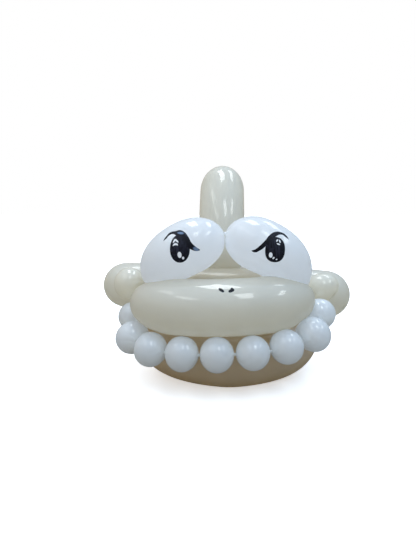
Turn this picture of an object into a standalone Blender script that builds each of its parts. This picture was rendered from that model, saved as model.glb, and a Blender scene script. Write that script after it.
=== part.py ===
"""Balloon shark, twisted from long modelling balloons.

Metres, +Z up. The nose points to -Y and the tail to +Y. It stands on its lower
jaw and belly, with the origin on the floor under the middle of its box.

Each balloon is one closed skin: a row of bubbles joined by thin twists. A bubble
is a tube that follows a smooth line and closes in a rounded end at each twist.
Where two bubbles press on each other, both are flattened up to the surface half
way between them, as two balloons of equal pressure are.
"""

import math
from dataclasses import dataclass, field

import bmesh
import bpy
import numpy as np
from mathutils import Matrix

# Twists, and the room that is left between two skins.
TWIST_R = 0.0018
TWIST_STUB = 0.0034
GAP = 0.0008
FLOOR_DENT = 0.0012
FLOOR_REACH = 0.0006

# The lines below are drawn about an origin of their own, on the floor a little behind
# the side fins. The middle of the shark's box is here from there, and main() shifts it
# to the origin.
MIDDLE = (0.0053, 0.0100, 0.0)

# Upper lip: one long bubble with a small cheek bubble twisted on at each end.
LIP_R = 0.0296
LIP_TAPER = 2.30
LIP_HALF_WIDTH = 0.0860
LIP_OFFSET = -0.0030
LIP_FRONT = -0.1603
LIP_BACK = -0.1040
LIP_SQUARENESS = 2.14
LIP_HEIGHT = 0.0946
LIP_DROOP = 0.0030
LIP_ROLL = 0.0023
LEFT_CHEEK = ((-0.1280, -0.0900, 0.1090), (-0.0940, -0.0960, 0.1045), 0.0190)
RIGHT_CHEEK = ((0.0955, -0.0960, 0.0950), (0.1342, -0.0900, 0.1085), 0.0167)

# Lower jaw and the bridge of the snout, which close the mouth below and behind.
JAW_R = 0.0288
JAW_HALF_WIDTH = 0.0892
JAW_OFFSET = 0.0049
JAW_FRONT = -0.1343
JAW_BACK = -0.0738
JAW_SQUARENESS = 1.57
JAW_RISE = 0.0469
JAW_TUCK = 0.07
BRIDGE_R = 0.0250
BRIDGE = ((-0.0680, -0.0930, 0.0996), (0.0680, -0.0930, 0.0996))

# Teeth: bubbles of nearly one size along a line round the mouth.
TOOTH_R = 0.0182
TOOTH_SIZES = (0.99, 1.02, 1.00, 1.00, 1.00, 0.97, 0.98, 1.04, 0.98)
TOOTH_PITCH = 0.0362
TOOTH_LENGTH = 0.0344
TOOTH_LINE = (
    (-0.1000, -0.0905, 0.0830),
    (-0.1080, -0.1200, 0.0590),
    (-0.0940, -0.1515, 0.0500),
    (-0.0450, -0.1735, 0.0495),
    (0.0080, -0.1796, 0.0515),
    (0.0600, -0.1727, 0.0557),
    (0.1045, -0.1460, 0.0690),
    (0.1018, -0.1150, 0.0890),
)

# Eyes: two bubbles that lean on each other over the nose.
LEFT_EYE_R = 0.0292
LEFT_EYE_TAPERS = (2.63, 1.49)
LEFT_EYE = ((-0.0684, -0.1025, 0.1065), (-0.0020, -0.1190, 0.1672), (-0.0249, -0.0207, 0.0039))
RIGHT_EYE_R = 0.0286
RIGHT_EYE_TAPERS = (1.40, 3.18)
RIGHT_EYE = ((0.0008, -0.1190, 0.1672), (0.0718, -0.1034, 0.0947), (0.0251, -0.0209, 0.0095))

# Fins. The dorsal fin rises behind the eyes and sweeps back.
DORSAL_R = 0.0280
DORSAL_TAPERS = (1.02, 1.29)
DORSAL = ((-0.0038, -0.0651, 0.1144), (0.0011, 0.0044, 0.2389), (0.0, -0.0174, 0.0097))
LEFT_FIN = ((-0.1519, -0.0500, 0.0967), (-0.0040, -0.0420, 0.0960), 0.0283)
RIGHT_FIN = ((0.0040, -0.0420, 0.0964), (0.1625, -0.0510, 0.0816), 0.0303)
FIN_TAPERS = (1.20, 1.03)

# Body: four bubbles side by side between the shoulder and the root of the tail.
BODY_R = 0.0265
SHOULDER = (0.0, -0.0180, 0.0930)
TAIL_ROOT = (0.0, 0.1220, 0.0720)
BODY_SPREAD = 0.0070
SPINE_BULGE = (0.0, 0.0, 0.0220)
FLANK_BULGE = (0.0190, 0.0, -0.0145)
BELLY_BULGE = (0.0, 0.0, -0.0520)

# Tail: the upper and the lower lobe.
UPPER_LOBE = ((0.0, 0.1365, 0.0830), (0.0, 0.2080, 0.1850), 0.0205)
LOWER_LOBE = ((0.0, 0.2040, 0.0165), (0.0, 0.1350, 0.0680), 0.0175)

IVORY = (0.62, 0.60, 0.49, 1.0)
WHITE = (0.80, 0.84, 0.88, 1.0)
LATEX_ROUGHNESS = 0.22

# Fineness of the skins: they are pressed while fine, and then thinned out.
SIDES = 32
END_RINGS = 6
RING_STEP = 0.006
SPHERES = 48
LINE_POINTS = 97
KEPT_SHARE = 0.24


def arch(half_width, front, back, height, squareness=2.0, rise=0.0, tuck=0.0, roll=0.0, offset=0.0):
    """A line that bulges towards -Y, from its left end round to its right end.

    squareness 2 is an ellipse, less is more pointed and more is boxier. Towards both
    ends the line climbs by rise and draws in by the share tuck; roll lowers the left
    and lifts the right, and offset moves it all to the right.
    """
    turn = np.linspace(-math.pi / 2, math.pi / 2, LINE_POINTS)
    power = 2.0 / squareness
    across = np.sign(np.sin(turn)) * np.abs(np.sin(turn)) ** power
    late = np.abs(turn / (math.pi / 2)) ** 5
    x = offset + half_width * across * (1.0 - tuck * late)
    y = back + (front - back) * np.abs(np.cos(turn)) ** power
    z = height + rise * late + roll * across
    return np.column_stack([x, y, z])


def bowed(start, end, bulge=(0.0, 0.0, 0.0)):
    """A line from start to end whose middle stands off by the vector bulge."""
    share = np.linspace(0.0, 1.0, LINE_POINTS)[:, None]
    start, end, bulge = (np.array(p, float) for p in (start, end, bulge))
    return start + (end - start) * share + bulge * np.sin(math.pi * share)


def smooth(points):
    """A Catmull-Rom line through the points."""
    points = np.array(points, float)
    ends = 2 * points[0] - points[1], 2 * points[-1] - points[-2]
    p = np.vstack([ends[0], points, ends[1]])
    share = np.linspace(0.0, 1.0, 16, endpoint=False)[:, None]
    spans = []
    for a, b, c, d in zip(p[:-3], p[1:-2], p[2:-1], p[3:]):
        curve = 2 * b + (c - a) * share + (2 * a - 5 * b + 4 * c - d) * share**2
        spans.append((curve + (3 * b - a - 3 * c + d) * share**3) / 2)
    return np.vstack([*spans, points[-1:]])


def mirrored(point):
    """The same point on the other side of the shark."""
    return (-point[0], *point[1:])


@dataclass
class Bubble:
    """An inflated stretch between two twists."""

    line: np.ndarray
    radius: float
    tapers: tuple = (1.25, 1.25)  # length of each rounded end, in radii

    def __post_init__(self):
        steps = np.linalg.norm(np.diff(self.line, axis=0), axis=1)
        self.along = np.concatenate([[0.0], np.cumsum(steps)])
        self.length = self.along[-1]
        ends = [taper * self.radius for taper in self.tapers]
        self.ends = [end * min(1.0, self.length / sum(ends)) for end in ends]
        self.centres, self.radii = self.spheres()

    def at(self, distance):
        """The points of the line at these distances from its start."""
        return np.column_stack([np.interp(distance, self.along, self.line[:, k]) for k in range(3)])

    def spheres(self):
        """Spheres that touch the skin from inside and together fill the bubble."""
        first, last = (self.radius**2 / end for end in self.ends)
        if first + last >= self.length:
            return self.at(np.array([self.length / 2])), np.array([self.radius])
        crowding = (1.0 - np.cos(np.linspace(0.0, math.pi, SPHERES))) / 2
        distance = first + (self.length - first - last) * crowding
        inset = np.zeros(SPHERES)
        for gone, end in zip((distance, self.length - distance), self.ends):
            depth = math.sqrt(max(end**2 - self.radius**2, 1e-12))
            inset = np.maximum(inset, np.clip(end - gone, 0.0, None) / depth)
        radii = self.radius * np.sqrt(np.clip(1.0 - inset**2, 0.0, None))
        return self.at(distance), radii

    def rings(self):
        """(centre, radius) of each ring of the skin, from one twist to the other."""
        (near, opening), (far, closing) = (self.end_rings(end) for end in self.ends)
        middle = self.length - near[-1] - far[-1]
        count = round(middle / RING_STEP)
        if not count:
            far, closing = far[:-1], closing[:-1]
        body = near[-1] + middle * np.arange(1, count) / max(count, 1)
        distance = np.concatenate([near, body, self.length - far[::-1]])
        radii = np.concatenate([opening, np.full(len(body), self.radius), closing[::-1]])
        return self.at(distance), radii

    def end_rings(self, end):
        """(distance from the twist, radius) of the rings of one rounded end."""
        narrowest = math.asin(TWIST_R / self.radius)
        steps = max(END_RINGS, round(end / RING_STEP))
        opening = np.linspace(narrowest, math.pi / 2, steps + 1)
        return end * (math.cos(narrowest) - np.cos(opening)), self.radius * np.sin(opening)

    def heading(self, at_end):
        """The direction in which the line runs at its start or at its end."""
        step = self.line[-1] - self.line[-3] if at_end else self.line[2] - self.line[0]
        return step / np.linalg.norm(step)

    def clearance(self, points):
        """How far each point is from every inner sphere of the bubble."""
        return np.linalg.norm(points[:, None] - self.centres[None], axis=2) - self.radii

    def outside(self, points):
        """How far each point is outside the bubble before anything presses on it."""
        return self.clearance(points).min(axis=1)

    def anchors(self, points):
        """For each point, the centre of the inner sphere that it is nearest to."""
        return self.centres[self.clearance(points).argmin(axis=1)]


@dataclass
class Balloon:
    """One balloon, twisted into a row of bubbles."""

    name: str
    colour: tuple
    bubbles: list = field(default_factory=list)

    def stations(self):
        """(centre, radius) of every ring of the whole skin, twists included."""
        centres, radii = [], []
        for number, bubble in enumerate(self.bubbles):
            if number:
                neck = twist(self.bubbles[number - 1], bubble)
                centres.append(neck)
                radii.append(np.full(len(neck), TWIST_R))
            ring_centres, ring_radii = bubble.rings()
            centres.append(ring_centres)
            radii.append(ring_radii)
        return np.concatenate(centres), np.concatenate(radii)

    def skin(self):
        """The skin as a mesh object, made from a bevelled curve whose radius varies."""
        centres, radii = self.stations()
        curve = bpy.data.curves.new(self.name, "CURVE")
        curve.dimensions = "3D"
        curve.bevel_depth = 1.0
        curve.bevel_resolution = (SIDES - 4) // 2
        curve.use_fill_caps = True
        spline = curve.splines.new("POLY")
        spline.points.add(len(centres) - 1)
        for point, centre, radius in zip(spline.points, centres, radii):
            point.co = (*centre, 1.0)
            point.radius = radius
        guide = bpy.data.objects.new(self.name + "_guide", curve)
        bpy.context.scene.collection.objects.link(guide)
        graph = bpy.context.evaluated_depsgraph_get()
        mesh = bpy.data.meshes.new_from_object(guide.evaluated_get(graph))
        bpy.data.objects.remove(guide)
        bpy.data.curves.remove(curve)
        mesh.name = self.name
        weld(mesh)
        return bpy.data.objects.new(self.name, mesh)


def twist(before, after):
    """The centres of the rings of the thin neck between two bubbles."""
    start, end = before.line[-1], after.line[0]
    stub = min(TWIST_STUB, np.linalg.norm(end - start) / 3)
    return np.array([start + stub * before.heading(True), end - stub * after.heading(False)])


def weld(mesh):
    """Joins a tube's end caps to its sides."""
    shape = bmesh.new()
    shape.from_mesh(mesh)
    bmesh.ops.remove_doubles(shape, verts=shape.verts, dist=1e-6)
    bmesh.ops.recalc_face_normals(shape, faces=shape.faces)
    shape.to_mesh(mesh)
    shape.free()


def press(balloon, skin, bubbles):
    """Flattens a skin where it meets other bubbles or the floor."""
    flat = np.empty(len(skin.data.vertices) * 3)
    skin.data.vertices.foreach_get("co", flat)
    points = flat.reshape(-1, 3)
    fields = np.array([bubble.outside(points) for bubble in balloon.bubbles])
    owner = fields.argmin(axis=0)
    on_skin = fields.min(axis=0) < 0.6 * TWIST_STUB
    for number, bubble in enumerate(balloon.bubbles):
        mine = np.flatnonzero((owner == number) & on_skin)
        points[mine] = pressed(points[mine], bubble, [b for b in bubbles if b is not bubble])
    skin.data.vertices.foreach_set("co", points.ravel())
    skin.data.update()


def pressed(points, bubble, others):
    """The points of one bubble's skin, drawn in towards its middle as far as needed."""
    anchors = bubble.anchors(points)
    least, most = np.zeros(len(points)), np.ones(len(points))
    free = is_free(points, bubble, others)
    for _ in range(18):
        share = (least + most) / 2
        fits = is_free(anchors + share[:, None] * (points - anchors), bubble, others)
        least = np.where(fits, share, least)
        most = np.where(fits, most, share)
    share = np.where(free, 1.0, least)
    return anchors + share[:, None] * (points - anchors)


def is_free(points, bubble, others):
    """Whether each point is on its own bubble's side of every other, and over the floor."""
    own = bubble.outside(points)
    free = points[:, 2] >= 0.0
    for other in others:
        free &= other.outside(points) - own >= GAP
    return free


def thin(skin):
    """Keeps only a share of a skin's triangles, and lays what meets the floor flat on it."""
    thinning = skin.modifiers.new("thinning", "DECIMATE")
    thinning.ratio = KEPT_SHARE
    fine = skin.data
    graph = bpy.context.evaluated_depsgraph_get()
    skin.data = bpy.data.meshes.new_from_object(skin.evaluated_get(graph))
    skin.modifiers.remove(thinning)
    bpy.data.meshes.remove(fine)
    skin.data.name = skin.name
    for vertex in skin.data.vertices:
        if vertex.co.z < FLOOR_REACH:
            vertex.co.z = 0.0


def tooth_row():
    """The bubbles of the teeth, in a row along their line."""
    guide = Bubble(smooth(TOOTH_LINE), TOOTH_R)
    first = guide.length - len(TOOTH_SIZES) * TOOTH_PITCH
    row = []
    for number, size in enumerate(TOOTH_SIZES):
        twists = guide.at(first + TOOTH_PITCH * np.array([number, number + 1]))
        middle, half = twists.mean(axis=0), (twists[1] - twists[0]) / 2
        half *= TOOTH_LENGTH / TOOTH_PITCH
        row.append(Bubble(bowed(middle - half, middle + half), TOOTH_R * size))
    return row


def head():
    """The balloons of the face and mouth."""
    lip = arch(
        LIP_HALF_WIDTH,
        LIP_FRONT,
        LIP_BACK,
        LIP_HEIGHT,
        LIP_SQUARENESS,
        rise=-LIP_DROOP,
        roll=LIP_ROLL,
        offset=LIP_OFFSET,
    )
    jaw = arch(
        JAW_HALF_WIDTH,
        JAW_FRONT,
        JAW_BACK,
        JAW_R - FLOOR_DENT,
        JAW_SQUARENESS,
        rise=JAW_RISE,
        tuck=JAW_TUCK,
        offset=JAW_OFFSET,
    )
    cheeks = [Bubble(bowed(start, end), radius) for start, end, radius in (LEFT_CHEEK, RIGHT_CHEEK)]
    lip_row = [cheeks[0], Bubble(lip, LIP_R, (LIP_TAPER, LIP_TAPER)), cheeks[1]]
    eyes = [
        Bubble(bowed(*LEFT_EYE), LEFT_EYE_R, LEFT_EYE_TAPERS),
        Bubble(bowed(*RIGHT_EYE), RIGHT_EYE_R, RIGHT_EYE_TAPERS),
    ]
    dorsal = Bubble(bowed(*DORSAL), DORSAL_R, DORSAL_TAPERS)
    return [
        Balloon("upper_lip", IVORY, lip_row),
        Balloon("snout_bridge", IVORY, [Bubble(bowed(*BRIDGE), BRIDGE_R)]),
        Balloon("lower_jaw", IVORY, [Bubble(jaw, JAW_R)]),
        Balloon("teeth", WHITE, tooth_row()),
        Balloon("eyes", WHITE, eyes),
        Balloon("dorsal_fin", IVORY, [dorsal]),
    ]


def trunk():
    """The balloons of the side fins, the body and the tail."""
    (left_tip, left_root, left_r), (right_root, right_tip, right_r) = LEFT_FIN, RIGHT_FIN
    fins = [
        Bubble(bowed(left_tip, left_root), left_r, FIN_TAPERS[::-1]),
        Bubble(bowed(right_root, right_tip), right_r, FIN_TAPERS),
    ]
    lobes = [Bubble(bowed(start, end), radius) for start, end, radius in (LOWER_LOBE, UPPER_LOBE)]
    body = []
    bulges = (SPINE_BULGE, FLANK_BULGE, BELLY_BULGE, mirrored(FLANK_BULGE))
    for number, bulge in enumerate(bulges):
        turn = math.pi / 2 * number
        aside = BODY_SPREAD * np.array([math.sin(turn), 0.0, math.cos(turn)])
        ends = [SHOULDER + aside, TAIL_ROOT + aside]
        if number % 2:
            ends.reverse()
        body.append(Bubble(bowed(*ends, bulge), BODY_R))
    return [
        Balloon("pectoral_fins", IVORY, fins),
        Balloon("body", IVORY, body),
        Balloon("tail", IVORY, lobes),
    ]


def latex(name, colour):
    """A glossy latex material."""
    material = bpy.data.materials.new(name)
    material.use_nodes = True
    shader = material.node_tree.nodes["Principled BSDF"]
    shader.inputs["Base Color"].default_value = colour
    shader.inputs["Roughness"].default_value = LATEX_ROUGHNESS
    shader.inputs["Metallic"].default_value = 0.0
    return material


def main():
    for old in list(bpy.data.objects):
        bpy.data.objects.remove(old)
    shark = bpy.data.collections.new("balloon_shark")
    bpy.context.scene.collection.children.link(shark)
    balloons = head() + trunk()
    bubbles = [bubble for balloon in balloons for bubble in balloon.bubbles]
    for balloon in balloons:
        skin = balloon.skin()
        press(balloon, skin, bubbles)
        skin.data.transform(Matrix.Translation(MIDDLE).inverted())
        skin.data.materials.append(latex(balloon.name + "_latex", balloon.colour))
        shark.objects.link(skin)
        thin(skin)
        skin.data.shade_smooth()


main()
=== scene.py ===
"""Looks of the balloon shark.

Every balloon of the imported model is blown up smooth, gathered into folds at its
twists, pressed on its neighbours, dressed in glossy latex and inked by hand.
Metres, +Z up; the nose points to -Y and the tail to +Y. Left and right are as seen
from the front, so right is +X, which is the shark's own left.
"""

from __future__ import annotations

import logging
import math
from dataclasses import dataclass, field, replace
from enum import Enum
from functools import reduce
from typing import Any, Callable, Sequence

import bmesh
import bpy
import numpy as np
from mathutils import Euler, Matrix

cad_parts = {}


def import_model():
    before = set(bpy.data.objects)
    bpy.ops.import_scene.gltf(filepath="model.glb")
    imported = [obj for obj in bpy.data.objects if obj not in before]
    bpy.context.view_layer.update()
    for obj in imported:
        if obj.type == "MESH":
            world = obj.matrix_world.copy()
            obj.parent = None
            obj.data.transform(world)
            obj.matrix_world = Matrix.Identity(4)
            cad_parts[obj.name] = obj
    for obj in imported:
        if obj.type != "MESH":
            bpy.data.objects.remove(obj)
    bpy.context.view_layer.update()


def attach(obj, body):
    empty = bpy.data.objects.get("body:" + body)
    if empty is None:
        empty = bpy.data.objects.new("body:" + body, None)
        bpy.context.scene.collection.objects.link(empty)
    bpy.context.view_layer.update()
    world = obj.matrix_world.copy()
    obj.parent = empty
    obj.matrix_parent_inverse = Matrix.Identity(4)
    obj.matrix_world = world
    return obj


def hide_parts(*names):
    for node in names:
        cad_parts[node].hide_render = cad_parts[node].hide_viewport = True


log = logging.getLogger("balloon_shark")

Triple = tuple[float, float, float]
Limb = tuple[Triple, Triple, float]
Colour = tuple[float, float, float, float]
Outline = tuple[tuple[float, float], ...]
Drawing = Callable[["Paint"], tuple[Any, Any, Any]]

# Taken off every point, so that the box of the shark stands with its middle on the origin.
MIDDLE = np.array([0.0053, 0.0100, 0.0])
LINE_POINTS = 129
SPAN_POINTS = 16
CLIMB_POWER = 5
END_CROWDING = 1.4
NECK_CROWDING = 1.6
BRIGHT = (1.0, 1.0, 1.0, 1.0)
UNLIT = (0.0, 0.0, 0.0, 1.0)


# ---------------------------------------------------------------------------
# Lines that the bubbles follow
# ---------------------------------------------------------------------------


def arch(
    half_width: float,
    front: float,
    back: float,
    height: float,
    squareness: float = 2.0,
    rise: float = 0.0,
    tuck: float = 0.0,
    roll: float = 0.0,
    offset: float = 0.0,
) -> np.ndarray:
    """Draws a line that bulges to the front, from its left end to its right end.

    Args:
        half_width: Half of the distance between the two ends.
        front: Y of the middle of the line.
        back: Y of both ends.
        height: Z of the middle of the line.
        squareness: 2 for an ellipse, less for a more pointed line.
        rise: How far the line climbs towards both ends.
        tuck: Share by which both ends draw in.
        roll: How far the right end is lifted and the left end lowered.
        offset: How far the whole line is moved to the right.

    Returns:
        The points of the line, one to a row.
    """
    turn = np.linspace(-math.pi / 2, math.pi / 2, LINE_POINTS)
    power = 2.0 / squareness
    across = np.sign(np.sin(turn)) * np.abs(np.sin(turn)) ** power
    late = np.abs(turn / (math.pi / 2)) ** CLIMB_POWER
    x = offset + half_width * across * (1.0 - tuck * late)
    y = back + (front - back) * np.abs(np.cos(turn)) ** power
    z = height + rise * late + roll * across
    return np.column_stack([x, y, z])


def bowed(start: Triple, end: Triple, bulge: Triple = (0.0, 0.0, 0.0)) -> np.ndarray:
    """Draws a line from start to end whose middle stands off by the vector bulge."""
    share = np.linspace(0.0, 1.0, LINE_POINTS)[:, None]
    first, last, side = (np.array(point, float) for point in (start, end, bulge))
    return first + (last - first) * share + side * np.sin(math.pi * share)


def smooth(points: tuple[Triple, ...]) -> np.ndarray:
    """Draws a Catmull-Rom line through the points."""
    given = np.array(points, float)
    first, last = 2 * given[0] - given[1], 2 * given[-1] - given[-2]
    p = np.vstack([first, given, last])
    share = np.linspace(0.0, 1.0, SPAN_POINTS, endpoint=False)[:, None]
    spans = []
    for a, b, c, d in zip(p[:-3], p[1:-2], p[2:-1], p[3:]):
        curve = 2 * b + (c - a) * share + (2 * a - 5 * b + 4 * c - d) * share**2
        spans.append((curve + (3 * b - a - 3 * c + d) * share**3) / 2)
    return np.vstack([*spans, given[-1:]])


def hooked(
    start: np.ndarray, leaving: np.ndarray, end: np.ndarray, arriving: np.ndarray, steps: int
) -> np.ndarray:
    """Draws a cubic curve from start to end.

    Args:
        start: Its first point.
        leaving: The way it leaves there; the longer, the further it runs on.
        end: Its last point.
        arriving: The way it arrives there.
        steps: How many points it has.

    Returns:
        The points of the curve, one to a row.
    """
    share = np.linspace(0.0, 1.0, steps)[:, None]
    near, far = start + leaving, end - arriving
    rest = 1.0 - share
    outer = rest**3 * start + share**3 * end
    return outer + 3 * rest * share * (rest * near + share * far)


def distances(path: np.ndarray) -> np.ndarray:
    """Gives how far along the path each of its points is."""
    steps = np.linalg.norm(np.diff(path, axis=0), axis=1)
    return np.concatenate([[0.0], np.cumsum(steps)])


def mirrored(point: Triple) -> Triple:
    """Gives the same point on the other side of the shark."""
    return (-point[0], point[1], point[2])


# ---------------------------------------------------------------------------
# Bubbles and balloons
# ---------------------------------------------------------------------------


class Tip(Enum):
    """How the free end of a balloon is closed."""

    DOME = "dome"
    TWIST = "twist"


DOMES = (Tip.DOME, Tip.DOME)


@dataclass
class Bubble:
    """An inflated stretch of a balloon between two twists.

    Args:
        line: The points that its middle follows.
        radius: Its radius where it is fullest.
        tapers: Length of the rounded ends, in radii.
        sphere_count: How many spheres fill it.
        least_rings: The fewest rings that round one of its ends.
    """

    line: np.ndarray
    radius: float
    tapers: tuple[float, float] = (1.25, 1.25)
    sphere_count: int = 96
    least_rings: int = 24

    def __post_init__(self) -> None:
        """Measures the line and fills the bubble with touching spheres."""
        self.along = distances(self.line)
        self.length = self.along[-1]
        ends = [taper * self.radius for taper in self.tapers]
        self.ends = [end * min(1.0, self.length / sum(ends)) for end in ends]
        self.centres, self.radii = self.spheres()

    def at(self, distance: np.ndarray) -> np.ndarray:
        """Gives the points of the line at these distances from its start."""
        return np.column_stack([np.interp(distance, self.along, self.line[:, k]) for k in range(3)])

    def reach(self) -> tuple[float, float]:
        """Gives the distances of the first and the last inner sphere."""
        first, last = (self.radius**2 / end for end in self.ends)
        if first + last >= self.length:
            return self.length / 2, self.length / 2
        return first, self.length - last

    def spheres(self) -> tuple[np.ndarray, np.ndarray]:
        """Fills the bubble with spheres that touch its skin from inside.

        Returns:
            The spheres' centres, and their radii.
        """
        first, last = self.reach()
        if first == last:
            return self.at(np.array([first])), np.array([self.radius])
        crowding = (1.0 - np.cos(np.linspace(0.0, math.pi, self.sphere_count))) / 2
        distance = first + (last - first) * crowding
        inset = np.zeros(self.sphere_count)
        for gone, end in zip((distance, self.length - distance), self.ends):
            depth = math.sqrt(max(end**2 - self.radius**2, 1e-12))
            inset = np.maximum(inset, np.clip(end - gone, 0.0, None) / depth)
        radii = self.radius * np.sqrt(np.clip(1.0 - inset**2, 0.0, None))
        return self.at(distance), radii

    def profile(self, step: float) -> tuple[np.ndarray, np.ndarray]:
        """Works out where the rings of the skin lie.

        Args:
            step: The widest distance between two rings.

        Returns:
            Each ring's distance from the start of the line, and its radius.
        """
        parts = []
        for end in self.ends:
            count = max(self.least_rings, round(END_CROWDING * end / step))
            turns = np.linspace(0.0, math.pi / 2, count)
            parts.append((end * (1.0 - np.cos(turns)), self.radius * np.sin(turns)))
        (near, opening), (far, closing) = parts
        middle = self.length - near[-1] - far[-1]
        count = round(middle / step)
        body = near[-1] + middle * np.arange(1, count) / max(count, 1)
        if not count:
            far, closing = far[:-1], closing[:-1]
        distance = np.concatenate([near, body, self.length - far[::-1]])
        radii = np.concatenate([opening, np.full(len(body), self.radius), closing[::-1]])
        return distance, radii

    def heading(self, at_end: bool) -> np.ndarray:
        """Gives the direction in which the line runs at its start or at its end."""
        step = self.line[-1] - self.line[-3] if at_end else self.line[2] - self.line[0]
        return step / np.linalg.norm(step)

    def outside(self, points: np.ndarray) -> np.ndarray:
        """Gives how far each point is outside the bubble before anything presses on it."""
        apart = np.linalg.norm(points[:, None] - self.centres[None], axis=2)
        return (apart - self.radii).min(axis=1)

    def box(self, margin: float) -> tuple[np.ndarray, np.ndarray]:
        """Gives the lowest and highest corner of the bubble, with a margin round it."""
        reach = self.radii[:, None] + margin
        return (self.centres - reach).min(axis=0), (self.centres + reach).max(axis=0)


def limb(size: Limb, tapers: tuple[float, float] = (1.25, 1.25)) -> Bubble:
    """Makes a straight bubble from its two ends and its radius."""
    start, end, radius = size
    return Bubble(bowed(start, end), radius, tapers)


@dataclass
class Rings:
    """The rings of a skin, from one end of the balloon to the other.

    Args:
        centres: The middle of each ring.
        radii: Its radius.
        anchors: The point that its skin is blown out from.
        owners: The number of the bubble it belongs to, below zero on a neck.
        offsets: Its distance from the nearest twist, below zero before the twist.
    """

    centres: np.ndarray
    radii: np.ndarray
    anchors: np.ndarray
    owners: np.ndarray
    offsets: np.ndarray

    @staticmethod
    def joined(parts: list[Rings]) -> Rings:
        """Strings stretches of rings together."""
        columns = zip(*(part.columns() for part in parts))
        return Rings(*(np.concatenate(column) for column in columns))

    def columns(self) -> tuple[np.ndarray, ...]:
        """Gives the columns of the rings, in the order of their fields."""
        return self.centres, self.radii, self.anchors, self.owners, self.offsets

    def reversed(self) -> Rings:
        """Gives the same rings from the other end."""
        return Rings(*(column[::-1] for column in self.columns()))


@dataclass
class Skin:
    """How the latex is gathered at a twist, and how fine its mesh is.

    Args:
        sides: Points round each ring.
        step: The widest distance between two rings.
        neck_radius: Radius of the twisted neck between two bubbles.
        neck_step: Distance between two rings of a neck.
        least_steps: The fewest points along a neck.
        stub: Length of the neck at a free end that is twisted shut.
        stub_rings: How many rings that neck has.
        stub_taper: What its last ring but one is drawn in to, as a share of its radius.
        bend: How far a neck runs on before it turns, as a share of its length.
        folds: How many folds run into a twist.
        fold_depth: Depth of the folds, as a share of the radius.
        fold_reach: How far the folds run from the twist.
        fold_fade: How suddenly they end there.
        fold_sharpness: How narrow each fold is.
        swirl: How far the folds wind round the bubble.
        swirl_reach: How far from the twist they wind.
        slack_reach: How far from the twist the latex is slack.
    """

    sides: int = 112
    step: float = 0.0018
    neck_radius: float = 0.0015
    neck_step: float = 0.0005
    least_steps: int = 6
    stub: float = 0.0040
    stub_rings: int = 8
    stub_taper: float = 0.8
    bend: float = 0.6
    folds: int = 9
    fold_depth: float = 0.15
    fold_reach: float = 0.0055
    fold_fade: float = 1.5
    fold_sharpness: float = 1.4
    swirl: float = 1.5
    swirl_reach: float = 0.0040
    slack_reach: float = 0.0075


@dataclass(frozen=True)
class Navel:
    """A spot where the latex is drawn in round a knot.

    Args:
        place: Where the knot is, in the frame of the finished shark.
        reach: How far the hollow round it spreads.
        depth: How deep the hollow is.
        nub: How far the knot stands up in the hollow.
        nub_reach: How far the knot spreads, as a share of the hollow.
    """

    place: Triple
    reach: float = 0.0034
    depth: float = 0.0022
    nub: float = 0.0026
    nub_reach: float = 0.42

    def dent(self, points: np.ndarray) -> tuple[np.ndarray, np.ndarray]:
        """Works out the hollow.

        Args:
            points: Points of the skin before MIDDLE is taken off.

        Returns:
            How far each point is pushed in, and how slack the latex is there.
        """
        away = np.linalg.norm(points - (np.array(self.place) + MIDDLE), axis=1) / self.reach
        hollow = np.exp(-(away**2))
        knot = np.exp(-((away / self.nub_reach) ** 2))
        return self.depth * hollow - self.nub * knot, hollow


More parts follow.
